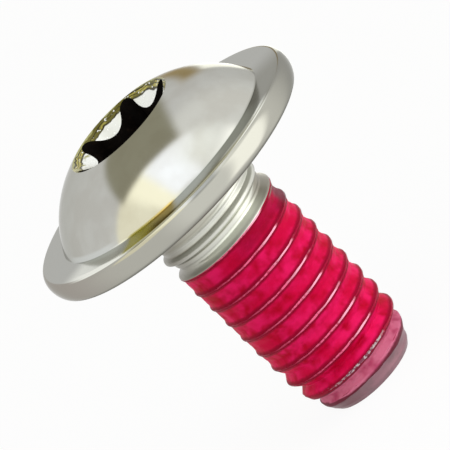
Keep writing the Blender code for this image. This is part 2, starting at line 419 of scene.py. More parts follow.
@dataclass
class SteelBolt:
    """The whole steel bolt as one closed skin.

    The skin is one grid. Its columns are azimuths, and its rows run up the
    shank along the helix, over the head and down into the socket.
    """

    shank: Shank = field(default_factory=Shank)
    head: Head = field(default_factory=Head)
    point_top: float = 0.72
    neck_gap: float = 0.03
    pitches_below: float = 1.1
    margin_above: float = 0.06
    sharp_angle: float = 32.0
    columns: int = 160

    def row_phases(self) -> np.ndarray:
        """Give the rows of one pitch, closer near the crest.

        Returns:
            Distances up from a crest, in pitches.
        """
        half = [0.0, 0.028, 0.045, 0.06, 0.08, 0.11, 0.145, 0.18, 0.215, 0.25]
        half += [0.285, 0.32, 0.355, 0.39, 0.41, 0.45, 0.50]
        return np.array(half + [1.0 - phase for phase in half[-2:0:-1]])

    def shank_grid(self, azimuth: np.ndarray) -> tuple[np.ndarray, np.ndarray, np.ndarray]:
        """Work out the shank's rows, which rise by one pitch in a turn.

        Args:
            azimuth: Azimuth of each column.

        Returns:
            Radius and height of each point, and the start height of each row's middle.
        """
        shank = self.shank
        high = shank.length - shank.fillet
        base = shank.crest_height(np.array(-180.0), 0.0)
        turns = np.arange(-math.ceil(base) - 1, math.ceil(high - base) + 1)
        start = base + (turns[:, None] + self.row_phases()[None, :]).ravel() * shank.pitch
        # A row rises by one pitch, so the lowest rows start under the end face
        low = -self.pitches_below * shank.pitch
        start = start[(start > low) & (start < high + self.margin_above)]
        height = np.clip(start[:, None] + (azimuth + 180) / 360 * shank.pitch, 0.0, high)
        radius = shank.radius(azimuth[None, :], height)
        middle = (start[:-1] + start[1:]) / 2
        return radius, height, middle

    def shank_surface(self, azimuth: np.ndarray, middle: np.ndarray) -> np.ndarray:
        """Name the surface of each face of the shank.

        The neck ends at the first full crest, and the point begins under the
        last turn.

        Args:
            azimuth: Azimuth of each column's middle.
            middle: Start height of each row's middle.

        Returns:
            The material slot of each face.
        """
        height = middle[:, None] + (azimuth + 180) / 360 * self.shank.pitch
        slots = np.full(height.shape, Surface.THREAD.value)
        first = self.shank.edge_height(azimuth, 0.0)[None, :] + self.neck_gap
        slots[height > first] = Surface.NECK.value
        slots[height < self.point_top] = Surface.POINT.value
        return slots

    def socket_grid(self, azimuth: np.ndarray) -> tuple[np.ndarray, np.ndarray, list]:
        """Work out the socket: conical mouth, six-lobe wall, floor and drill cone.

        Args:
            azimuth: Azimuth of each column.

        Returns:
            Radius, height above the seat, and the surface of each row.
        """
        head = self.head
        wall = head.socket_radius(azimuth)
        floor = head.socket_floor()
        share = np.linspace(0.0, 1.0, 12)[1:, None]
        cone_r = head.mouth + (wall - head.mouth) * share
        cone_z = head.top() - head.mouth_slope * (head.mouth - cone_r)
        down = np.linspace(0.0, 1.0, 9)[1:, None]
        wall_r = np.broadcast_to(wall, (len(down), len(wall)))
        wall_z = cone_z[-1] + (floor - cone_z[-1]) * down
        floor_r = wall + (head.drill - wall) * np.array([[0.5], [1.0]])
        floor_z = np.full(floor_r.shape, floor)
        drill = np.array([[0.6], [0.2]]) * np.ones(len(wall))
        drill_z = floor - head.floor_cone * (1 - drill)
        radius = np.concatenate([cone_r, wall_r, floor_r, head.drill * drill])
        height = np.concatenate([cone_z, wall_z, floor_z, drill_z])
        surfaces = [Surface.MOUTH] * len(share) + [Surface.SOCKET] * (len(radius) - len(share))
        return radius, height, surfaces

    def head_grid(self, azimuth: np.ndarray) -> tuple[np.ndarray, np.ndarray, np.ndarray]:
        """Join the head's round rows and the socket's rows.

        Args:
            azimuth: Azimuth of each column.

        Returns:
            Radius and height of each point, and the material slot of each face.
        """
        rim_r, rim_z, rim_surfaces = self.head.rings()
        socket_r, socket_z, socket_surfaces = self.socket_grid(azimuth)
        ones = np.ones(len(azimuth))
        radius = np.concatenate([rim_r[:, None] * ones, socket_r])
        height = np.concatenate([rim_z[:, None] * ones, socket_z]) + SEAT_HEIGHT
        surfaces = rim_surfaces[1:] + socket_surfaces
        return radius, height, np.repeat([s.value for s in surfaces], len(azimuth))

    def build(self) -> bpy.types.Object:
        """Build the skin.

        Returns:
            The piece, which stands for the plain bolt.
        """
        count = self.columns
        azimuth = np.arange(count) * 360.0 / count - 180.0
        # The last column of the helix meets the first one a pitch further up,
        # so the shank's grid has one column more than the round rows have
        helix = np.append(azimuth, 180.0)
        shank_r, shank_z, middle = self.shank_grid(helix)
        shank_slots = self.shank_surface(azimuth + 180.0 / count, middle).ravel()
        head_r, head_z, head_slots = self.head_grid(azimuth)
        end_r = self.shank.point_radii[0] * np.array([[0.5], [1.0]])
        blocks = [
            ring_points(helix, shank_r, shank_z),
            ring_points(azimuth, head_r, head_z),
            ring_points(azimuth, end_r, 0.0),
            np.array([[0.0, 0.0, 0.0], [0.0, 0.0, SEAT_HEIGHT + self.head.socket_tip()]]),
        ]
        # Each block's faces count on from the points of the blocks before it.
        # A fan of triangles closes the end face and the socket's floor
        head_start, end_start, tip = np.cumsum([len(block) for block in blocks[:3]])
        inner = end_start - count
        i = np.arange(count)
        after = (i + 1) % count
        faces = [
            grid_faces(len(shank_r), count + 1, closed=False),
            grid_faces(len(head_r), count) + head_start,
            grid_faces(2, count) + end_start,
            np.stack([np.full(count, tip), end_start + after, end_start + i], axis=-1),
            np.stack([np.full(count, tip + 1), inner + i, inner + after], axis=-1),
        ]
        end_slots = np.full(2 * count, Surface.POINT.value)
        slots = [shank_slots, head_slots, end_slots, np.full(count, Surface.SOCKET.value)]
        listed = sum([block.tolist() for block in faces], [])
        piece = make_piece("bolt_steel", np.concatenate(blocks), listed, np.concatenate(slots))
        piece.data.set_sharp_from_angle(angle=math.radians(self.sharp_angle))
        return piece

    def dress(self, piece: bpy.types.Object) -> None:
        """Give the skin its finishes, one for each surface.

        Args:
            piece: The skin.
        """
        finishes = {
            Surface.HEAD: PlatedHead(),
            Surface.MOUTH: SocketMouth(),
            Surface.SOCKET: SocketShade(),
            Surface.NECK: RolledNeck(),
            Surface.THREAD: BareCrest(),
            Surface.POINT: BarePoint(),
        }
        for surface in Surface:
            piece.data.materials.append(finishes[surface].make())


@dataclass
class ThreadCoating:
    """The dried coating: a thin closed skin that winds down the thread groove.

    Across the groove the skin runs from just below one crest to just above
    the next. Its last turn also covers the cut-off crest and ends in a ring.
    """

    shank: Shank = field(default_factory=Shank)
    valley_heights: tuple = (0.7, 1.5, 1.95, 2.9, 4.0, 5.2, 9.7)
    valley_radii: tuple = (2.45, 2.43, 2.51, 2.71, 2.79, 2.82, 2.83)
    climb_places: tuple = (0.0, 0.06, 0.20, 0.32, 0.40, 0.45)
    climb_shares: tuple = (0.0, 0.10, 0.52, 0.82, 0.92, 0.93)
    pool: float = 0.11
    pool_azimuth: float = -90.0
    pool_spread: float = 34.0
    pool_heights: tuple = (2.4, 4.2)
    unevenness: float = 0.014
    gap: float = 0.006
    film: float = 0.014
    bare_half: float = 0.050
    edge_wander: float = 0.016
    least_band: float = 0.03
    smear: float = 0.020
    smear_azimuths: tuple = (-10.0, 60.0)
    worn: float = 0.022
    worn_turns: tuple = (7.95, 8.25)
    last_turns: tuple = (7.578, 7.778)
    start_taper: float = 0.06
    end_taper: float = 0.05
    rim_power: float = 0.35
    rim_least: float = 0.12
    first_azimuth: float = 180.0
    ring_height: float = 0.72
    ring_wander: float = 0.022
    last_crest: float = 8.0
    last_fade: tuple = (-0.16, -0.06)
    ring_fade: tuple = (0.03, 0.12)
    side_places: tuple = (0.22, 0.44)
    side_wander: float = 0.03
    shoulder_drop: float = 0.135
    shoulder_half: float = 0.055
    turns: float = 8.805
    steps_per_turn: int = 200
    across: int = 22

    def edges(self, azimuth: np.ndarray, turn: np.ndarray) -> tuple[np.ndarray, np.ndarray]:
        """Give the heights of the skin's upper and lower edges.

        Args:
            azimuth: Azimuth along the helix, falling without a jump at each turn.
            turn: Number of the crest above, which counts the pitches.

        Returns:
            Heights of the upper and the lower edge.
        """
        shank = self.shank
        upper = shank.crest_height(azimuth, 0.0)
        lower = upper - shank.pitch
        wander = self.edge_wander * ripple(azimuth, upper, 3)
        wander_low = self.edge_wander * ripple(azimuth, lower, 4)
        # Where the steel crest has been smeared the bare line is thinner
        smear = self.smear * smooth_step(-wrapped(azimuth), *self.smear_azimuths)
        top = upper - self.bare_half - wander + smear
        bottom = lower + self.bare_half + wander_low - smear
        # The coating has worn off the last full crest in a wider line, which
        # the lower edge meets one turn before the upper edge
        top = top - self.worn * smooth_step(turn, *self.worn_turns)
        bottom = bottom + self.worn * smooth_step(turn + 1.0, *self.worn_turns)
        led = shank.pitch * smooth_step(azimuth, *shank.lead_down)
        top = np.maximum(top - led, bottom + self.least_band)
        last = smooth_step(turn, *self.last_turns)
        ring = self.ring_height + self.ring_wander * ripple(azimuth, np.zeros_like(azimuth), 8)
        return top, bottom + (np.minimum(ring, bottom) - bottom) * last

    def fill_radius(self, azimuth: np.ndarray, height: np.ndarray) -> np.ndarray:
        """Give the radius of the groove's filling.

        It falls in a smooth curve from each crest to a narrow valley in the
        middle. The compound ran to the left side before it dried, and fills
        the groove more there.

        Args:
            azimuth: Azimuth in degrees.
            height: Height above the end face.

        Returns:
            The radius in millimetres.
        """
        away = 0.5 - self.shank.from_crest(azimuth, height)
        pooled = np.exp(-(((azimuth - self.pool_azimuth) / self.pool_spread) ** 2))
        pooled = pooled * smooth_step(height, *self.pool_heights)
        valley = np.interp(height, self.valley_heights, self.valley_radii) + self.pool * pooled
        crest = np.minimum(self.shank.major, self.shank.point_radius(height) + 0.02)
        climb = np.interp(away, self.climb_places, self.climb_shares)
        uneven = self.unevenness * ripple(azimuth, height, 5, 14) * (1.0 - climb)
        return valley + (crest - valley) * climb + uneven

    def build(self) -> bpy.types.Object:
        """Build the skin as a closed band.

        The outer face is the higher of two surfaces, a film on the steel and
        the groove's filling. The inner face lies just off the steel.

        Returns:
            The piece, which stands for the plain coating.
        """
        steps = int(self.turns * self.steps_per_turn)
        along = np.linspace(0.0, self.turns, steps + 1)
        azimuth = self.first_azimuth - 360.0 * along
        top, bottom = self.edges(azimuth, along)
        share = np.linspace(0.0, 1.0, self.across + 1)
        height = top[:, None] + (bottom - top)[:, None] * share
        around = np.broadcast_to(wrapped(azimuth)[:, None], height.shape)
        steel = self.shank.radius(around, height)
        ends = smooth_step(along, 0.0, self.start_taper)
        ends = ends * (1.0 - smooth_step(along, self.turns - self.end_taper, self.turns))
        outer = np.maximum(steel + self.film, self.fill_radius(around, height) * ends[:, None])
        rim = np.maximum(np.sin(np.pi * share) ** self.rim_power, self.rim_least)
        inner = steel + self.gap
        outer = inner + (outer - inner) * rim
        ring_r = np.concatenate([outer, inner[:, -2:0:-1]], axis=1)
        ring_z = np.concatenate([height, height[:, -2:0:-1]], axis=1)
        size = ring_r.shape[1]
        faces = grid_faces(steps + 1, size).tolist()
        faces.append(list(range(size))[::-1])
        faces.append(list(range(steps * size, (steps + 1) * size)))
        points = ring_points(azimuth[:, None], ring_r, ring_z)
        piece = make_piece("thread_coating", points, faces, np.zeros(len(faces)))
        self.mark(piece)
        return piece

    def mark(self, piece: bpy.types.Object) -> None:
        """Store how near each point lies to a crest and to the last turn.

        Args:
            piece: The skin, which gets the attributes crest_side and last_turn.
        """
        mesh = piece.data
        flat = np.empty(len(mesh.vertices) * 3)
        mesh.vertices.foreach_get("co", flat)
        x, y, z = (flat.reshape(-1, 3) / MM).T
        azimuth = np.degrees(np.arctan2(x, -y))
        side = smooth_step(0.5 - self.shank.from_crest(azimuth, z), *self.side_places)
        wander = self.side_wander * ripple(azimuth, z, 6)
        past = z - self.shank.edge_height(azimuth, self.last_crest)
        last = 1.0 - smooth_step(past, *self.last_fade)
        ring = 1.0 - smooth_step(z - self.ring_height + wander, *self.ring_fade)
        side = np.maximum(side, ring * last)
        shoulder = past + self.shoulder_drop + 1.2 * wander
        side = np.maximum(side, 1.1 * np.exp(-((shoulder / self.shoulder_half) ** 2)))
        for name, values in (("crest_side", side), ("last_turn", last)):
            layer = mesh.attributes.new(name, "FLOAT", "POINT")
            layer.data.foreach_set("value", values.astype(np.float32))

    def dress(self, piece: bpy.types.Object) -> None:
        """Give the skin its dried finish.

        Args:
            piece: The skin.
        """
        piece.data.materials.append(DriedCompound().make())


class Sketch:
    """A short way to write a node tree."""

    def __init__(self, tree: bpy.types.NodeTree) -> None:
        """Keep the tree that the nodes go into."""
        self.tree = tree

    def node(self, kind: str, **inputs: object) -> bpy.types.Node:
        """Add a node and fill its inputs.

        Args:
            kind: Type name of the node.
            inputs: Sockets or values for the inputs of these names.

        Returns:
            The node.
        """
        made = self.tree.nodes.new(kind)
        for name, source in inputs.items():
            self.feed(made.inputs[name], source)
        return made

    def feed(self, socket: Socket, source: object) -> None:
        """Link a socket to a source, or set it where the source is a plain value.

        Args:
            socket: The socket to fill.
            source: Another node's socket or a value.
        """
        if isinstance(source, Socket):
            self.tree.links.new(source, socket)
        else:
            socket.default_value = source

    def math(self, operation: str, *sources: object) -> Socket:
        """Add a Math node.

        Args:
            operation: Name of the operation.
            sources: Sockets or values for its inputs.

        Returns:
            The result.
        """
        made = self.node("ShaderNodeMath")
        made.operation = operation
        for socket, source in zip(made.inputs, sources):
            self.feed(socket, source)
        return made.outputs[0]

    def times(self, product: object, *shares: object) -> Socket:
        """Multiply shares.

        Args:
            product: The first share, a socket or a value.
            shares: The other shares.

        Returns:
            The product.
        """
        for share in shares:
            product = self.math("MULTIPLY", product, share)
        return product

    def rise(self, value: object, low: float, high: float) -> Socket:
        """Rise smoothly from 0 at low to 1 at high, or fall where low is the greater.

        Args:
            value: Socket to read.
            low: Where the rise starts.
            high: Where the rise ends.

        Returns:
            The share as a socket.
        """
        made = self.node("ShaderNodeMapRange")
        made.interpolation_type = "SMOOTHSTEP"
        ends = (low, high, 0.0, 1.0) if low < high else (high, low, 1.0, 0.0)
        for socket, source in zip(made.inputs[0:5], (value, *ends)):
            self.feed(socket, source)
        return made.outputs[0]

    def window(self, value: object, low: float, high: float, soft: float) -> Socket:
        """Give 1 between low and high and 0 outside.

        Args:
            value: Socket to read.
            low: Middle of the rise.
            high: Middle of the fall.
            soft: Width of the rise and of the fall.

        Returns:
            The share as a socket.
        """
        half = soft / 2
        up = self.rise(value, low - half, low + half)
        return self.times(up, self.rise(value, high + half, high - half))

    def mix(self, share: object, first: object, second: object) -> Socket:
        """Mix two colours.

        Args:
            share: Share of the second colour.
            first: The first colour.
            second: The second colour.

        Returns:
            The mixed colour.
        """
        made = self.node("ShaderNodeMix", Factor=share)
        made.data_type = "RGBA"
        self.feed(made.inputs[6], first)
        self.feed(made.inputs[7], second)
        return made.outputs[2]

    def blend(self, share: object, first: bpy.types.Node, second: bpy.types.Node) -> bpy.types.Node:
        """Mix two shaders.

        Args:
            share: Share of the second shader.
            first: The first shader.
            second: The second shader.

        Returns:
            The mixed shader.
        """
        made = self.node("ShaderNodeMixShader")
        for socket, source in zip(made.inputs, (share, first.outputs[0], second.outputs[0])):
            self.feed(socket, source)
        return made

    def azimuth(self, x: object, y: object) -> Socket:
        """Give the azimuth of a direction in degrees, from the front towards +X."""
        return self.math("DEGREES", self.math("ARCTAN2", x, self.times(y, -1.0)))


@dataclass
class Place:
    """Sockets that say where a point of the bolt is, in millimetres and degrees.

    Attributes:
        point: The point itself.
        radius: Its distance from the axis.
        azimuth: Its azimuth.
        height: Its height above the end face.
        front_depth: Its depth after the helix is unwound to the front.
    """

    point: Socket
    radius: Socket
    azimuth: Socket
    height: Socket
    front_depth: Socket

    @classmethod
    def read(cls, sketch: Sketch) -> "Place":
        """Read the place from Object coordinates.

        Args:
            sketch: The sketch of the material's tree.

        Returns:
            The place's sockets.
        """
        metres = sketch.node("ShaderNodeTexCoord").outputs["Object"]
        point = sketch.node("ShaderNodeMapping", Scale=(1 / MM, 1 / MM, 1 / MM), Vector=metres).outputs[0]
        x, y, z = sketch.node("ShaderNodeSeparateXYZ", Vector=point).outputs
        radius = sketch.math("SQRT", sketch.math("ADD", sketch.times(x, x), sketch.times(y, y)))
        azimuth = sketch.azimuth(x, y)
        depth = sketch.math("SUBTRACT", SEAT_HEIGHT, z)
        front_depth = sketch.math("MULTIPLY_ADD", azimuth, 1 / 360, depth)
        return cls(point, radius, azimuth, z, front_depth)


class Coat(Sketch):
    """A material in the making, which keeps its place and the colour laid so far."""

    def __init__(self, tree: bpy.types.NodeTree, ground: tuple) -> None:
        """Start the coat.

        Args:
            tree: The material's tree, which holds its Principled shader.
            ground: The colour that the others are laid on.
        """
        super().__init__(tree)
        self.place = Place.read(self)
        self.base = ground

    def fill(self, name: str, source: object) -> None:
        """Fill the shader's input of this name."""
        self.feed(self.tree.nodes["Principled BSDF"].inputs[name], source)

    def lay(self, share: object, tone: object) -> None:
        """Lay a colour over the others by a share."""
        self.base = self.mix(share, self.base, tone)

    def noise(self, scale: float, detail: float = 3.0, point: object = None) -> Socket:
        """Add noise.

        Args:
            scale: Waves per millimetre.
            detail: Number of finer layers.
            point: Where it is read, or None for the coat's own place.

        Returns:
            The noise, 0.5 on average.
        """
        where = self.place.point if point is None else point
        return self.node("ShaderNodeTexNoise", Vector=where, Scale=scale, Detail=detail).outputs[0]

    def above(self, low: float, high: float) -> Socket:
        """Rise between two heights above the seat."""
        return self.rise(self.place.height, SEAT_HEIGHT + low, SEAT_HEIGHT + high)

    def around(self, low: float, high: float, soft: float) -> Socket:
        """Give 1 between two azimuths, with soft ends."""
        return self.window(self.place.azimuth, low, high, soft)

    def stored(self, name: str) -> Socket:
        """Read what the mesh stores under a name."""
        made = self.node("ShaderNodeAttribute")
        made.attribute_name = name
        return made.outputs["Fac"]


def colour(red: int, green: int, blue: int) -> tuple[float, float, float, float]:
    """Turn a colour of the screen into the shader's linear colour.

    Args:
        red: Red from 0 to 255.
        green: Green from 0 to 255.
        blue: Blue from 0 to 255.

    Returns:
        The linear red, green and blue, and 1.
    """
    parts = [c / 255 for c in (red, green, blue)]
    linear = [p / 12.92 if p <= 0.04045 else ((p + 0.055) / 1.055) ** 2.4 for p in parts]
    return (*linear, 1.0)


@dataclass(frozen=True)
class Finish:
    """What every finish of the bolt shares.

    Attributes:
        name: Name of the material.
        ground: Colour under all that is laid on it.
        metallic: Share of metal.
        roughness: Mean roughness.
        spread: How far the grain spreads the roughness.
        bump: Strength of the grain's relief.
        grain_height: Height of the grain's relief in millimetres.
        specular: Level of the highlight, 0.5 for a plain surface.
    """

    name: str
    ground: tuple
    metallic: float
    roughness: float
    spread: float
    bump: float
    grain_height: float
    specular: float = 0.5

    def make(self) -> bpy.types.Material:
        """Make the material: a Principled shader whose inputs paint() fills.

        Returns:
            The material.
        """
        material = bpy.data.materials.new(self.name)
        material.use_nodes = True
        coat = Coat(material.node_tree, self.ground)
        coat.fill("Metallic", self.metallic)
        coat.fill("Specular IOR Level", self.specular)
        self.paint(coat)
        coat.fill("Base Color", coat.base)
        return material

    def paint(self, coat: Coat) -> None:
        """Lay the colours and call surface(). Each finish has its own way."""
        raise NotImplementedError

    def surface(self, coat: Coat, grain: object, relief: object = None, dulled: object = 0.0) -> None:
        """Fill the roughness and the relief that a grain gives.

        Args:
            coat: The coat in the making.
            grain: Noise that spreads the roughness.
            relief: Noise that gives the relief, or None where the grain does.
            dulled: What is added to the roughness.
        """
        rough = coat.math("MULTIPLY_ADD", grain, self.spread, self.roughness - self.spread / 2)
        coat.fill("Roughness", coat.math("ADD", rough, dulled))
        height = grain if relief is None else relief
        distance = self.grain_height * MM
        made = coat.node("ShaderNodeBump", Strength=self.bump, Distance=distance, Height=height)
        coat.fill("Normal", made.outputs[0])


@dataclass(frozen=True)
class PlatedHead(Finish):
    """Bright plating with a faint yellow tint and stains beside the dome's foot, with painted shade,
    painted reflections and painted highlights on the flange and at the dome's foot.
    """

    name: str = "plated_head"
    ground: tuple = colour(180, 179, 172)
    metallic: float = 1.0
    roughness: float = 0.12
    spread: float = 0.05
    bump: float = 0.10
    grain_height: float = 0.003
    bright: tuple = colour(186, 186, 180)
    # Painted shade on the rim's edge: a little darker in front, darker at both sides.
    edge: tuple = colour(168, 167, 158)
    flat: tuple = colour(180, 180, 176)
    inner_flat: tuple = colour(176, 178, 171)
    # Painted shade on the flat band at the side.
    side_flat_shade: tuple = colour(142, 141, 133)
    side_edge_shade: tuple = colour(141, 140, 133)
    low_edge_shade: tuple = colour(158, 152, 144)
    # Painted highlight on the flat band to the left of the front.
    low_flat_highlight: tuple = colour(232, 233, 226)
    gold: tuple = colour(142, 119, 4)
    olive: tuple = colour(154, 146, 22)
    foot_gold: tuple = colour(188, 168, 108)
    foot_olive: tuple = colour(150, 142, 66)
    # Painted highlight along the dome's foot, to the left.
    foot_highlight: tuple = colour(198, 200, 196)
    # Painted highlight on the flange's upper corner.
    corner_highlight: tuple = colour(236, 237, 228)
    # Painted dark reflection on the rim's top, just right of the front.
    rim: tuple = colour(131, 131, 124)
    # Painted highlight near the outer edge of the flat band, in front.
    turned: tuple = colour(252, 252, 244)
    # Painted shade on the flange's underside.
    under: tuple = colour(122, 121, 113)
    tint: tuple = (0.70, 0.70, 0.68, 1.0)
    stain_metal: float = 0.3
    stain_wander: float = 6.0

    def paint(self, coat: Coat) -> None:
        """Paint the plating, the painted shade on the rim and the underside, the painted highlights, the
        flat band and the stains.

        Args:
            coat: The coat in the making.
        """
        radius = coat.place.radius
        front = coat.around(-60.0, 46.0, 14.0)
        above = coat.above(1.04, 1.12)
        coat.fill("Specular Tint", self.tint)
        coat.lay(coat.rise(coat.noise(0.7), 0.35, 0.65), self.bright)
        # Painted shade on the rim's edge, darkest at the sides.
        edge = coat.mix(coat.around(54.0, 150.0, 26.0), self.edge, self.side_edge_shade)
        edge = coat.mix(coat.around(-150.0, -50.0, 40.0), edge, self.low_edge_shade)
        coat.lay(coat.rise(radius, 7.02, 7.16), edge)
        # Painted highlight on the front of the flange's upper corner.
        corner_highlight = coat.times(coat.window(radius, 7.06, 7.20, 0.04), coat.above(0.85, 0.95), front)
        coat.lay(corner_highlight, self.corner_highlight)
        # Painted dark reflection on the rim's top, just right of the front.
        rim = coat.times(coat.window(radius, 7.20, 7.31, 0.04), coat.above(0.80, 0.90))
        coat.lay(coat.times(rim, coat.around(-1.0, 12.0, 6.0)), self.rim)
        # Painted shade on the flange's underside, which is also made rougher.
        under = coat.times(coat.above(0.22, 0.04), coat.rise(radius, 6.6, 6.9))
        coat.lay(under, self.under)
        self.paint_flat(coat, front, above)
        # Painted highlight along the dome's foot, to the left.
        foot = coat.times(coat.window(radius, 5.76, 5.90, 0.08), above)
        coat.lay(coat.times(foot, coat.around(-78.0, -42.0, 10.0)), self.foot_highlight)
        self.surface(coat, coat.noise(9.0, 4.0), dulled=coat.times(under, 0.5))

    def paint_flat(self, coat: Coat, front: object, above: object) -> None:
        """Paint the flat band round the dome, with painted reflections on it that are darker at the side
        and lighter to the left of the front, and its stains.

        Args:
            coat: The coat in the making.
            front: Share of the front.
            above: Share of the flange's top.
        """
        radius = coat.place.radius
        flat = coat.times(coat.window(radius, 5.86, 7.12, 0.06), above)
        # Painted reflections on the flat band: shade at the side, a highlight to the left of the front.
        level = coat.mix(coat.around(40.0, 84.0, 26.0), self.flat, self.side_flat_shade)
        level = coat.mix(front, level, self.inner_flat)
        coat.lay(flat, coat.mix(coat.around(-66.0, -34.0, 14.0), level, self.low_flat_highlight))
        # Painted highlight near the outer edge of the flat band, in front.
        coat.lay(coat.times(coat.window(radius, 6.88, 7.10, 0.08), above, front), self.turned)
        wobble = coat.math("MULTIPLY_ADD", coat.noise(1.6), self.stain_wander, coat.place.azimuth)
        stained = coat.window(wobble, -30.0, -4.0, 5.0)
        golden = coat.rise(wobble, -24.0, -10.0)
        stain = coat.times(stained, flat)
        coat.lay(stain, coat.mix(golden, self.olive, self.gold))
        dull = coat.times(stain, coat.rise(wobble, -12.0, -20.0))
        coat.fill("Metallic", coat.math("MULTIPLY_ADD", dull, self.stain_metal - 1.0, 1.0))
        foot = coat.times(coat.window(radius, 5.85, 5.92, 0.06), stained, above)
        coat.lay(foot, coat.mix(golden, self.foot_olive, self.foot_gold))


@dataclass(frozen=True)
class SocketMouth(Finish):
    """The countersunk mouth: a near-white painted highlight on the ridges, olive at its upper edge."""

    name: str = "socket_mouth"
    # A near-white ground: a painted highlight where the mouth's cone catches the light.
    ground: tuple = colour(250, 252, 248)
    metallic: float = 0.45
    roughness: float = 0.25
    spread: float = 0.16
    bump: float = 0.15
    grain_height: float = 0.004
    dark: tuple = colour(52, 46, 10)
    yellow: tuple = colour(184, 174, 84)
    olive: tuple = colour(104, 98, 34)
    lip: tuple = colour(168, 166, 112)
    wide_wander: float = 0.34
    fine_wander: float = 0.05

    def paint(self, coat: Coat) -> None:
        """Paint the mouth from its radius, with broken streaks.

        Args:
            coat: The coat in the making.
        """
        patch = coat.noise(1.5, 2.0)
        fine = coat.noise(6.0)
        edge = coat.math("MULTIPLY_ADD", coat.noise(1.3, 2.0), self.wide_wander, coat.place.radius)
        edge = coat.math("MULTIPLY_ADD", coat.math("SUBTRACT", fine, 0.5), self.fine_wander, edge)
        coat.lay(coat.rise(edge, 2.66, 2.70), self.dark)
        coat.lay(coat.window(edge, 2.76, 2.92, 0.04), self.yellow)
        coat.lay(coat.times(coat.rise(patch, 0.46, 0.56), coat.rise(edge, 2.70, 2.74)), self.olive)
        coat.lay(coat.window(edge, 2.84, 2.87, 0.02), self.dark)
        coat.lay(coat.rise(edge, 2.96, 2.99), self.lip)
        # Painted glints, in the near-white of the painted highlight.
        painted_glint = coat.times(coat.rise(fine, 0.60, 0.66), coat.window(edge, 2.74, 2.94, 0.03))
        coat.lay(painted_glint, self.ground)
        left = coat.times(coat.rise(patch, 0.50, 0.60), coat.rise(edge, 2.40, 2.55))
        coat.lay(coat.times(left, coat.around(-135.0, -80.0, 20.0)), self.lip)
        self.surface(coat, fine)


@dataclass(frozen=True)
class SocketShade(Finish):
    """The deep shade of the socket's walls and floor."""

    name: str = "socket_shade"
    ground: tuple = colour(9, 5, 3)
    metallic: float = 0.0
    roughness: float = 0.6
    spread: float = 0.3
    bump: float = 0.3
    grain_height: float = 0.02
    specular: float = 0.1
    broken: tuple = colour(26, 18, 12)

    def paint(self, coat: Coat) -> None:
        """Paint the walls nearly black as painted shade, a little lighter where noise breaks it.

        Args:
            coat: The coat in the making.
        """
        # Painted shade in the socket, broken by noise.
        shade_noise = coat.noise(3.0)
        coat.lay(coat.rise(shade_noise, 0.5, 0.8), self.broken)
        self.surface(coat, shade_noise)


@dataclass(frozen=True)
class RolledNeck(Finish):
    """Bright rolled steel, drawn into fine lines round the neck, with painted shade in its folds, near
    the head, towards the coating and at the sides, and a painted highlight before the coating.
    """

    name: str = "rolled_neck"
    ground: tuple = colour(204, 205, 195)
    metallic: float = 1.0
    roughness: float = 0.36
    spread: float = 0.16
    bump: float = 0.15
    grain_height: float = 0.01
    bright: tuple = colour(200, 200, 192)
    # Painted shade in the folds and near the head.
    dark: tuple = colour(168, 166, 154)
    # Painted shade towards the coating and to the left.
    low: tuple = colour(118, 113, 101)
    # Painted highlight on the plateau before the coating.
    plateau_highlight: tuple = colour(226, 229, 216)
    # Painted shade on the right, near the coating.
    far: tuple = colour(148, 144, 132)
    first_lap: float = 1.27
    laps: tuple = (1.60, 2.05, 2.445)
    folds: tuple = (1.38, 1.81, 2.26)
    level_wander: float = 0.05
    far_slant: float = 0.010
    line_stretch: tuple = (0.12, 0.12, 1.0)
    line_scale: float = 26.0

    def paint(self, coat: Coat) -> None:
        """Paint the laps, painted shade in the folds and elsewhere, and a painted highlight, and draw the
        lines round the neck.

        Args:
            coat: The coat in the making.
        """
        azimuth = coat.place.azimuth
        level = coat.math("SUBTRACT", coat.place.front_depth, self.level_wander / 2)
        level = coat.math("MULTIPLY_ADD", coat.noise(1.4), self.level_wander, level)
        # Painted shade in the folds.
        fold = self.bands(coat, level, self.folds, 0.04, 0.08)
        fold = coat.times(fold, coat.rise(azimuth, 34.0, 0.0), coat.rise(azimuth, -175.0, -125.0))
        coat.lay(fold, self.dark)
        first = self.bands(coat, level, (self.first_lap,), 0.05, 0.08)
        first = coat.times(first, coat.rise(azimuth, -5.0, 12.0))
        lift = coat.math("MAXIMUM", first, self.bands(coat, level, self.laps, 0.07, 0.10))
        coat.lay(coat.times(lift, coat.around(-150.0, 150.0, 50.0)), self.bright)
        left = coat.times(coat.rise(azimuth, 14.0, -8.0), coat.rise(azimuth, -175.0, -115.0))
        # Painted shade near the head, on the left.
        coat.lay(coat.times(coat.rise(level, 1.54, 1.46), left, 0.8), self.dark)
        # Painted highlight on the plateau before the coating.
        plateau_highlight = coat.times(coat.window(level, 2.54, 2.84, 0.12), coat.rise(azimuth, -44.0, -4.0))
        coat.lay(plateau_highlight, self.plateau_highlight)
        # Painted shade towards the coating, on the left.
        coat.lay(coat.times(coat.rise(level, 2.74, 2.98), left, 0.5), self.low)
        # Painted shade to the left.
        coat.lay(coat.times(coat.rise(azimuth, -16.0, -70.0), left, 0.8), self.low)
        # Painted shade on the right, near the coating.
        slant = coat.math("MULTIPLY_ADD", azimuth, self.far_slant, level)
        far = coat.times(coat.rise(slant, 2.76, 2.88), coat.rise(azimuth, 26.0, 60.0))
        coat.lay(coat.times(far, coat.rise(azimuth, 150.0, 90.0)), self.far)
        stretched = coat.node("ShaderNodeMapping", Scale=self.line_stretch, Vector=coat.place.point)
        self.surface(coat, coat.noise(self.line_scale, 2.0, stretched.outputs[0]))

    def bands(self, coat: Coat, level: object, middles: tuple, half: float, soft: float) -> object:
        """Give 1 on several bands round the neck.

        Args:
            coat: The coat in the making.
            level: Front depth with a little noise.
            middles: Front depth of each band's middle.
            half: Half the width of a band.
            soft: Width of its soft ends.

        Returns:
            The share of the bands.
        """
        share = 0.0
        for middle in middles:
            share = coat.math("MAXIMUM", coat.window(level, middle - half, middle + half, soft), share)
        return share


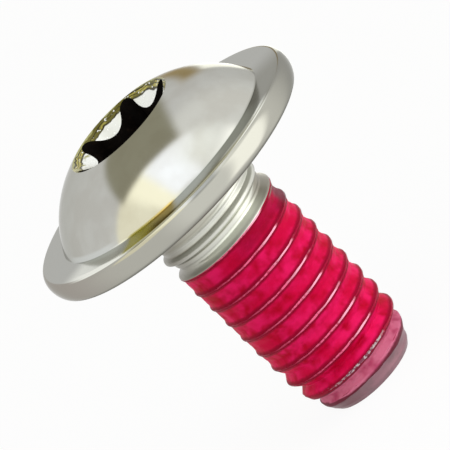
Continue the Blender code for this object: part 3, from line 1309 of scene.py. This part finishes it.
@dataclass(frozen=True)
class BareCrest(Finish):
    """Steel crests between the turns of coating, smeared with a pink film."""

    name: str = "bare_crest"
    ground: tuple = colour(164, 8, 52)
    metallic: float = 1.0
    roughness: float = 0.24
    spread: float = 0.24
    bump: float = 0.25
    grain_height: float = 0.01
    specular: float = 0.08
    # Cleaner steel and a painted highlight, on the right of the front.
    clean_and_lit: tuple = colour(206, 136, 156)
    filmed: tuple = colour(212, 92, 126)
    worn: tuple = colour(184, 164, 168)
    worn_dark: tuple = colour(122, 70, 88)
    thin: tuple = colour(132, 76, 88)
    tear: float = 24.0

    def paint(self, coat: Coat) -> None:
        """Paint the crests brighter and cleaner on the right of the front and darker and more smeared to
        the left, partly as a painted highlight and painted shade.

        Args:
            coat: The coat in the making.
        """
        torn = coat.noise(3.0, 5.0)
        speck = coat.noise(7.0, 2.0)
        wander = coat.math("MULTIPLY_ADD", torn, self.tear, coat.place.azimuth)
        # Cleaner steel and a painted highlight, on the right of the front.
        clean_and_lit = coat.rise(wander, 12.0, 30.0)
        last = coat.rise(coat.place.height, 2.35, 2.05)
        dots = coat.math("MULTIPLY_ADD", coat.rise(speck, 0.38, 0.52), 0.55, 0.45)
        dots = coat.math("MAXIMUM", dots, coat.math("MULTIPLY_ADD", last, -0.15, clean_and_lit))
        dots = coat.math("MAXIMUM", dots, coat.times(last, 0.85))
        bare = coat.times(coat.rise(wander, -50.0, 4.0), coat.rise(wander, 52.0, 40.0), dots)
        worn = coat.mix(coat.rise(speck, 0.44, 0.58), self.worn_dark, self.worn)
        coat.lay(bare, coat.mix(last, coat.mix(clean_and_lit, self.filmed, self.clean_and_lit), worn))
        thin = coat.window(coat.place.front_depth, 3.80, 4.20, 0.1)
        coat.lay(coat.times(thin, coat.around(66.0, 140.0, 12.0)), self.thin)
        coat.fill("Metallic", bare)
        self.surface(coat, torn, relief=speck)


@dataclass(frozen=True)
class BarePoint(Finish):
    """The bare point, dull and tinted mauve by a trace of the coating."""

    name: str = "bare_point"
    ground: tuple = colour(131, 102, 108)
    metallic: float = 0.85
    roughness: float = 0.42
    spread: float = 0.16
    bump: float = 0.2
    grain_height: float = 0.008
    mauve: tuple = colour(148, 109, 118)
    # Painted shade to the left.
    low: tuple = colour(116, 79, 85)

    def paint(self, coat: Coat) -> None:
        """Paint the point mauve-grey with soft clouds, with painted shade to the left.

        Args:
            coat: The coat in the making.
        """
        azimuth = coat.place.azimuth
        coat.lay(coat.rise(coat.noise(1.3), 0.35, 0.65), self.mauve)
        # Painted shade to the left.
        left = coat.times(coat.rise(azimuth, -12.0, -50.0), coat.rise(azimuth, -175.0, -120.0))
        coat.lay(left, self.low)
        self.surface(coat, coat.noise(11.0))


@dataclass(frozen=True)
class DriedCompound(Finish):
    """Dried thread-locking compound: a deep pink, darker beside each crest."""

    name: str = "dried_compound"
    ground: tuple = colour(208, 3, 64)
    metallic: float = 0.0
    roughness: float = 0.5
    spread: float = 0.2
    bump: float = 0.35
    grain_height: float = 0.03
    specular: float = 0.05
    bright: tuple = colour(233, 24, 98)
    deep: tuple = colour(180, 0, 36)
    dark: tuple = colour(152, 2, 44)
    pale: tuple = colour(214, 118, 148)
    pale_deep: tuple = colour(186, 74, 110)
    pale_dark: tuple = colour(112, 44, 60)
    shaded: tuple = colour(118, 6, 36)
    thin: tuple = colour(124, 62, 76)
    film: tuple = colour(148, 130, 122)
    side_break: float = 0.5

    def paint(self, coat: Coat) -> None:
        """Paint the compound in clouds, darker beside the crests, paler on the last turn.

        Args:
            coat: The coat in the making.
        """
        level = coat.place.front_depth
        last = coat.stored("last_turn")
        blot = coat.noise(1.4, 2.0)
        fleck = coat.noise(5.0, 4.0)
        coat.lay(coat.rise(coat.noise(0.9, 4.0), 0.35, 0.64), self.bright)
        coat.lay(coat.rise(blot, 0.42, 0.76), self.deep)
        first = coat.times(coat.window(level, 2.80, 3.82, 0.35), coat.around(-8.0, 80.0, 30.0), 0.70)
        coat.lay(first, self.dark)
        coat.lay(last, coat.mix(coat.rise(blot, 0.40, 0.66), self.pale, self.pale_deep))
        broken = coat.math("SUBTRACT", fleck, 0.5)
        side = coat.math("MULTIPLY_ADD", broken, self.side_break, coat.stored("crest_side"))
        coat.lay(coat.rise(side, 0.10, 0.95), coat.mix(last, self.dark, self.pale_dark))
        crest = coat.times(coat.window(level, 3.70, 4.05, 0.15), coat.around(50.0, 130.0, 14.0), 0.7)
        coat.lay(crest, self.shaded)
        thin = coat.times(coat.window(level, 3.20, 4.20, 0.1), coat.around(66.0, 140.0, 12.0), 0.9)
        coat.lay(thin, self.thin)
        start = coat.times(coat.rise(level, 3.24, 3.12), coat.around(54.0, 140.0, 12.0))
        coat.lay(start, self.film)
        self.surface(coat, fleck)


@dataclass(frozen=True)
class CeilingPanel:
    """A soft-edged panel overhead, as the bolt's plating sees it.

    The panel lies in a level plane one unit above the bolt. Its edges are
    given there, rightwards along +X and backwards along +Y.

    Attributes:
        left: Left edge.
        right: Right edge.
        front: Front edge.
        back: Back edge.
        soft: Width of the soft edges.
        light: Colour and level of its light.
        lean: How far the left edge moves right for each unit backwards.
        skew: How far the back edge moves back for each unit rightwards.
    """

    left: float
    right: float
    front: float
    back: float
    soft: float
    light: tuple
    lean: float = 0.0
    skew: float = 0.0

    def share(self, sketch: Sketch, look: "Look") -> Socket:
        """Give how much of the panel a direction sees.

        Args:
            sketch: The sketch of the surround's tree.
            look: The direction.

        Returns:
            The share as a socket.
        """
        half = self.soft / 2
        leaning = sketch.math("MULTIPLY_ADD", look.along, -self.lean, look.across)
        skewed = sketch.math("MULTIPLY_ADD", look.across, -self.skew, look.along)
        return sketch.times(
            sketch.rise(leaning, self.left - half, self.left + half),
            sketch.rise(look.across, self.right + half, self.right - half),
            sketch.rise(look.along, self.front - half, self.front + half),
            sketch.rise(skewed, self.back + half, self.back - half),
            look.overhead,
        )


@dataclass(frozen=True)
class WallPanel:
    """A soft-edged panel that stands round the bolt, as its plating sees it.

    Attributes:
        start: Azimuth of one side.
        end: Azimuth of the other side.
        low: Elevation of the lower edge.
        high: Elevation of the upper edge.
        soft: Width of the soft edges in degrees.
        light: Colour and level of its light.
        fall: How far both edges sink for each degree of azimuth past the middle.
    """

    start: float
    end: float
    low: float
    high: float
    soft: float
    light: tuple
    fall: float = 0.0

    def share(self, sketch: Sketch, look: "Look") -> Socket:
        """Give how much of the panel a direction sees.

        Args:
            sketch: The sketch of the surround's tree.
            look: The direction.

        Returns:
            The share as a socket.
        """
        around = sketch.window(look.azimuth, self.start, self.end, self.soft)
        past = sketch.math("SUBTRACT", look.azimuth, (self.start + self.end) / 2)
        level = sketch.math("MULTIPLY_ADD", past, self.fall, look.elevation)
        return sketch.times(around, sketch.window(level, self.low, self.high, self.soft))


@dataclass
class Look:
    """Sockets that describe a direction from the bolt.

    Attributes:
        azimuth: Its azimuth in degrees.
        elevation: Its elevation in degrees.
        across: Where it meets the level plane of the overhead panels, along +X.
        along: The same along +Y.
        overhead: Share of the directions that rise towards that plane.
    """

    azimuth: Socket
    elevation: Socket
    across: Socket
    along: Socket
    overhead: Socket

    @classmethod
    def read(cls, sketch: Sketch) -> "Look":
        """Read the direction in the surround's tree.

        Args:
            sketch: The sketch of the surround's tree.

        Returns:
            The direction's sockets.
        """
        direction = sketch.node("ShaderNodeTexCoord").outputs["Generated"]
        x, y, z = sketch.node("ShaderNodeSeparateXYZ", Vector=direction).outputs
        elevation = sketch.math("DEGREES", sketch.math("ARCSINE", z))
        high = sketch.math("MAXIMUM", z, 0.05)
        across = sketch.math("DIVIDE", x, high)
        along = sketch.math("DIVIDE", y, high)
        return cls(sketch.azimuth(x, y), elevation, across, along, sketch.rise(z, 0.1, 0.3))


@dataclass(frozen=True)
class Studio:
    """The floor, the surround, the lamp and the camera."""

    floor_size: float = 900.0
    floor_drop: float = 0.01
    diffuse_share: float = 0.62
    floor_glow: float = 0.93
    strip_width: float = 26.0
    strip_height: float = 62.0
    strip_lift: float = 1.0
    strip_distance: float = 42.0
    strip_azimuth: float = 54.0
    strip_level: float = 1.5
    panels: tuple = (
        WallPanel(40.0, 130.0, -60.0, 85.0, 36.0, (1.20, 1.20, 1.18)),
        WallPanel(-96.0, 40.0, -60.0, 48.0, 30.0, (1.06, 1.06, 1.05)),
        WallPanel(-22.0, 40.0, -60.0, 44.0, 30.0, (1.38, 1.39, 1.38)),
        CeilingPanel(-1.90, -0.12, -1.30, 0.04, 0.14, (1.48, 1.42, 1.14), 0.0, 0.13),
        CeilingPanel(-0.58, -0.08, -1.20, 0.02, 0.30, (2.06, 2.01, 1.64), 0.0, 0.13),
        CeilingPanel(-0.64, 0.37, -0.12, 1.80, 0.15, (0.46, 0.44, 0.33), 0.42),
        CeilingPanel(-0.20, 0.54, -1.12, -0.13, 0.16, (1.96, 2.02, 2.18)),
        WallPanel(26.0, 78.0, 34.0, 66.0, 34.0, (1.60, 1.62, 1.58)),
        WallPanel(34.0, 78.0, -50.0, 34.0, 16.0, (2.25, 2.25, 2.20)),
        WallPanel(156.0, 175.0, 4.4, 17.0, 10.0, (0.62, 0.48, 0.25), 1.2),
        WallPanel(160.0, 175.0, -12.0, 0.8, 4.0, (2.20, 2.20, 2.05), 1.2),
    )
    target: Vector = Vector((0.0, 0.0, 12.78))
    tilt: float = 73.8
    lean: float = 0.65
    roll: float = 45.0
    distance: float = 260.0
    pixels_per_mm: float = 22.57
    target_pixel: tuple = (158.5, 227.9)
    image_pixels: int = 450
    sensor: float = 36.0

    def build_floor(self) -> bpy.types.Object:
        """Build the floor, a large disc just under the bolt.

        Returns:
            The floor.
        """
        azimuth = np.arange(0.0, 360.0, 5.0)
        rings = self.floor_size * np.array([[0.02], [0.1], [1.0]])
        points = ring_points(azimuth, rings, -self.floor_drop)
        faces = grid_faces(len(rings), len(azimuth)).tolist() + [list(range(len(azimuth)))]
        floor = make_piece("floor", points, faces, np.zeros(len(faces)))
        floor.data.materials.append(self.floor_finish())
        floor.visible_glossy = False
        return floor

    def floor_finish(self) -> bpy.types.Material:
        """Make the pale floor, white to the camera and to gloss, with a soft shadow.

        Returns:
            The material.
        """
        material = bpy.data.materials.new("pale_floor")
        material.use_nodes = True
        material.node_tree.nodes.clear()
        sketch = Sketch(material.node_tree)
        rays = sketch.node("ShaderNodeLightPath").outputs
        seen = sketch.times(rays["Is Camera Ray"], self.floor_glow)
        for name in ("Is Glossy Ray", "Is Transmission Ray"):
            seen = sketch.math("MAXIMUM", seen, rays[name])
        paint = sketch.node("ShaderNodeBsdfDiffuse", Color=(0.92, 0.92, 0.92, 1.0))
        blend = sketch.blend(seen, paint, sketch.node("ShaderNodeEmission", Color=WHITE))
        sketch.node("ShaderNodeOutputMaterial", Surface=blend.outputs[0])
        return material

    def light_world(self) -> None:
        """Make the surround: white to the camera, soft panels to gloss and dimmer to the rest."""
        world = bpy.data.worlds.new("studio")
        bpy.context.scene.world = world
        world.use_nodes = True
        world.node_tree.nodes.clear()
        sketch = Sketch(world.node_tree)
        look = Look.read(sketch)
        light = WHITE
        for panel in self.panels:
            light = sketch.mix(panel.share(sketch, look), light, (*panel.light, 1.0))
        plain = sketch.node("ShaderNodeBackground", Color=light, Strength=self.diffuse_share)
        gloss = sketch.node("ShaderNodeBackground", Color=light)
        white = sketch.node("ShaderNodeBackground", Color=WHITE)
        rays = sketch.node("ShaderNodeLightPath").outputs
        shiny = sketch.math("MAXIMUM", rays["Is Glossy Ray"], rays["Is Transmission Ray"])
        blend = sketch.blend(rays["Is Camera Ray"], sketch.blend(shiny, plain, gloss), white)
        sketch.node("ShaderNodeOutputWorld", Surface=blend.outputs[0])

    def light_strip(self) -> None:
        """Stand a tall narrow lamp to the right of the bolt."""
        lamp = bpy.data.lights.new("right_strip", "AREA")
        lamp.shape = "RECTANGLE"
        lamp.size = self.strip_width * MM
        lamp.size_y = self.strip_height * MM
        lamp.energy = self.strip_level * math.pi * lamp.size * lamp.size_y
        strip = bpy.data.objects.new("right_strip", lamp)
        turn = math.radians(self.strip_azimuth)
        out = Vector((math.sin(turn), -math.cos(turn), 0.0))
        up = Vector((0.0, 0.0, 1.0))
        middle = out * self.strip_distance + up * (self.strip_height / 2 + self.strip_lift)
        facing = Matrix((up.cross(out), up, out)).transposed().to_4x4()
        strip.matrix_world = Matrix.Translation(middle * MM) @ facing
        strip.visible_camera = False
        strip.visible_glossy = False
        bpy.context.scene.collection.objects.link(strip)

    def set_camera(self) -> None:
        """Set the camera where the picture was taken from.

        The picture's own axes are turned by the roll. The camera looks along
        the line that the tilt gives, and is moved sideways until the target
        falls on its pixel.
        """
        tilt = math.radians(self.tilt)
        lean = math.radians(self.lean)
        x, y, z = Vector((1, 0, 0)), Vector((0, 1, 0)), Vector((0, 0, 1))
        down = -math.sin(tilt) * z - math.cos(tilt) * y
        along = math.cos(lean) * down - math.sin(lean) * x
        across = math.sin(lean) * down + math.cos(lean) * x
        back = math.cos(tilt) * z - math.sin(tilt) * y
        middle = (self.image_pixels - 1) / 2
        shift_along = (self.target_pixel[0] - middle) / self.pixels_per_mm
        shift_across = -(self.target_pixel[1] - middle) / self.pixels_per_mm
        place = self.target - shift_along * along - shift_across * across + self.distance * back
        roll = math.radians(self.roll)
        right = math.cos(roll) * along + math.sin(roll) * across
        up = -math.sin(roll) * along + math.cos(roll) * across
        camera = bpy.data.cameras.new("camera")
        camera.sensor_width = self.sensor
        camera.lens = self.sensor * self.pixels_per_mm * self.distance / self.image_pixels
        camera.clip_start = 0.005
        holder = bpy.data.objects.new("camera", camera)
        turn = Matrix((right, up, back)).transposed().to_4x4()
        holder.matrix_world = Matrix.Translation(place * MM) @ turn
        bpy.context.scene.collection.objects.link(holder)
        bpy.context.scene.camera = holder
        bpy.context.scene.view_settings.view_transform = "Standard"


def main() -> None:
    """Build and dress the bolt, its coating and the studio."""
    logging.basicConfig(level=logging.INFO, format="%(name)s: %(message)s")
    steel = SteelBolt()
    bolt = steel.build()
    steel.dress(bolt)
    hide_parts("bolt")
    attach(bolt, "root")
    LOG.info("%s has %d faces", bolt.name, len(bolt.data.polygons))

    coating = ThreadCoating()
    skin = coating.build()
    coating.dress(skin)
    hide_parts("threadlock_coating")
    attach(skin, "root")
    LOG.info("%s has %d faces", skin.name, len(skin.data.polygons))

    studio = Studio()
    studio.build_floor()
    studio.light_world()
    studio.light_strip()
    studio.set_camera()
    LOG.info("the studio is set")


if __name__ == "__main__":
    main()
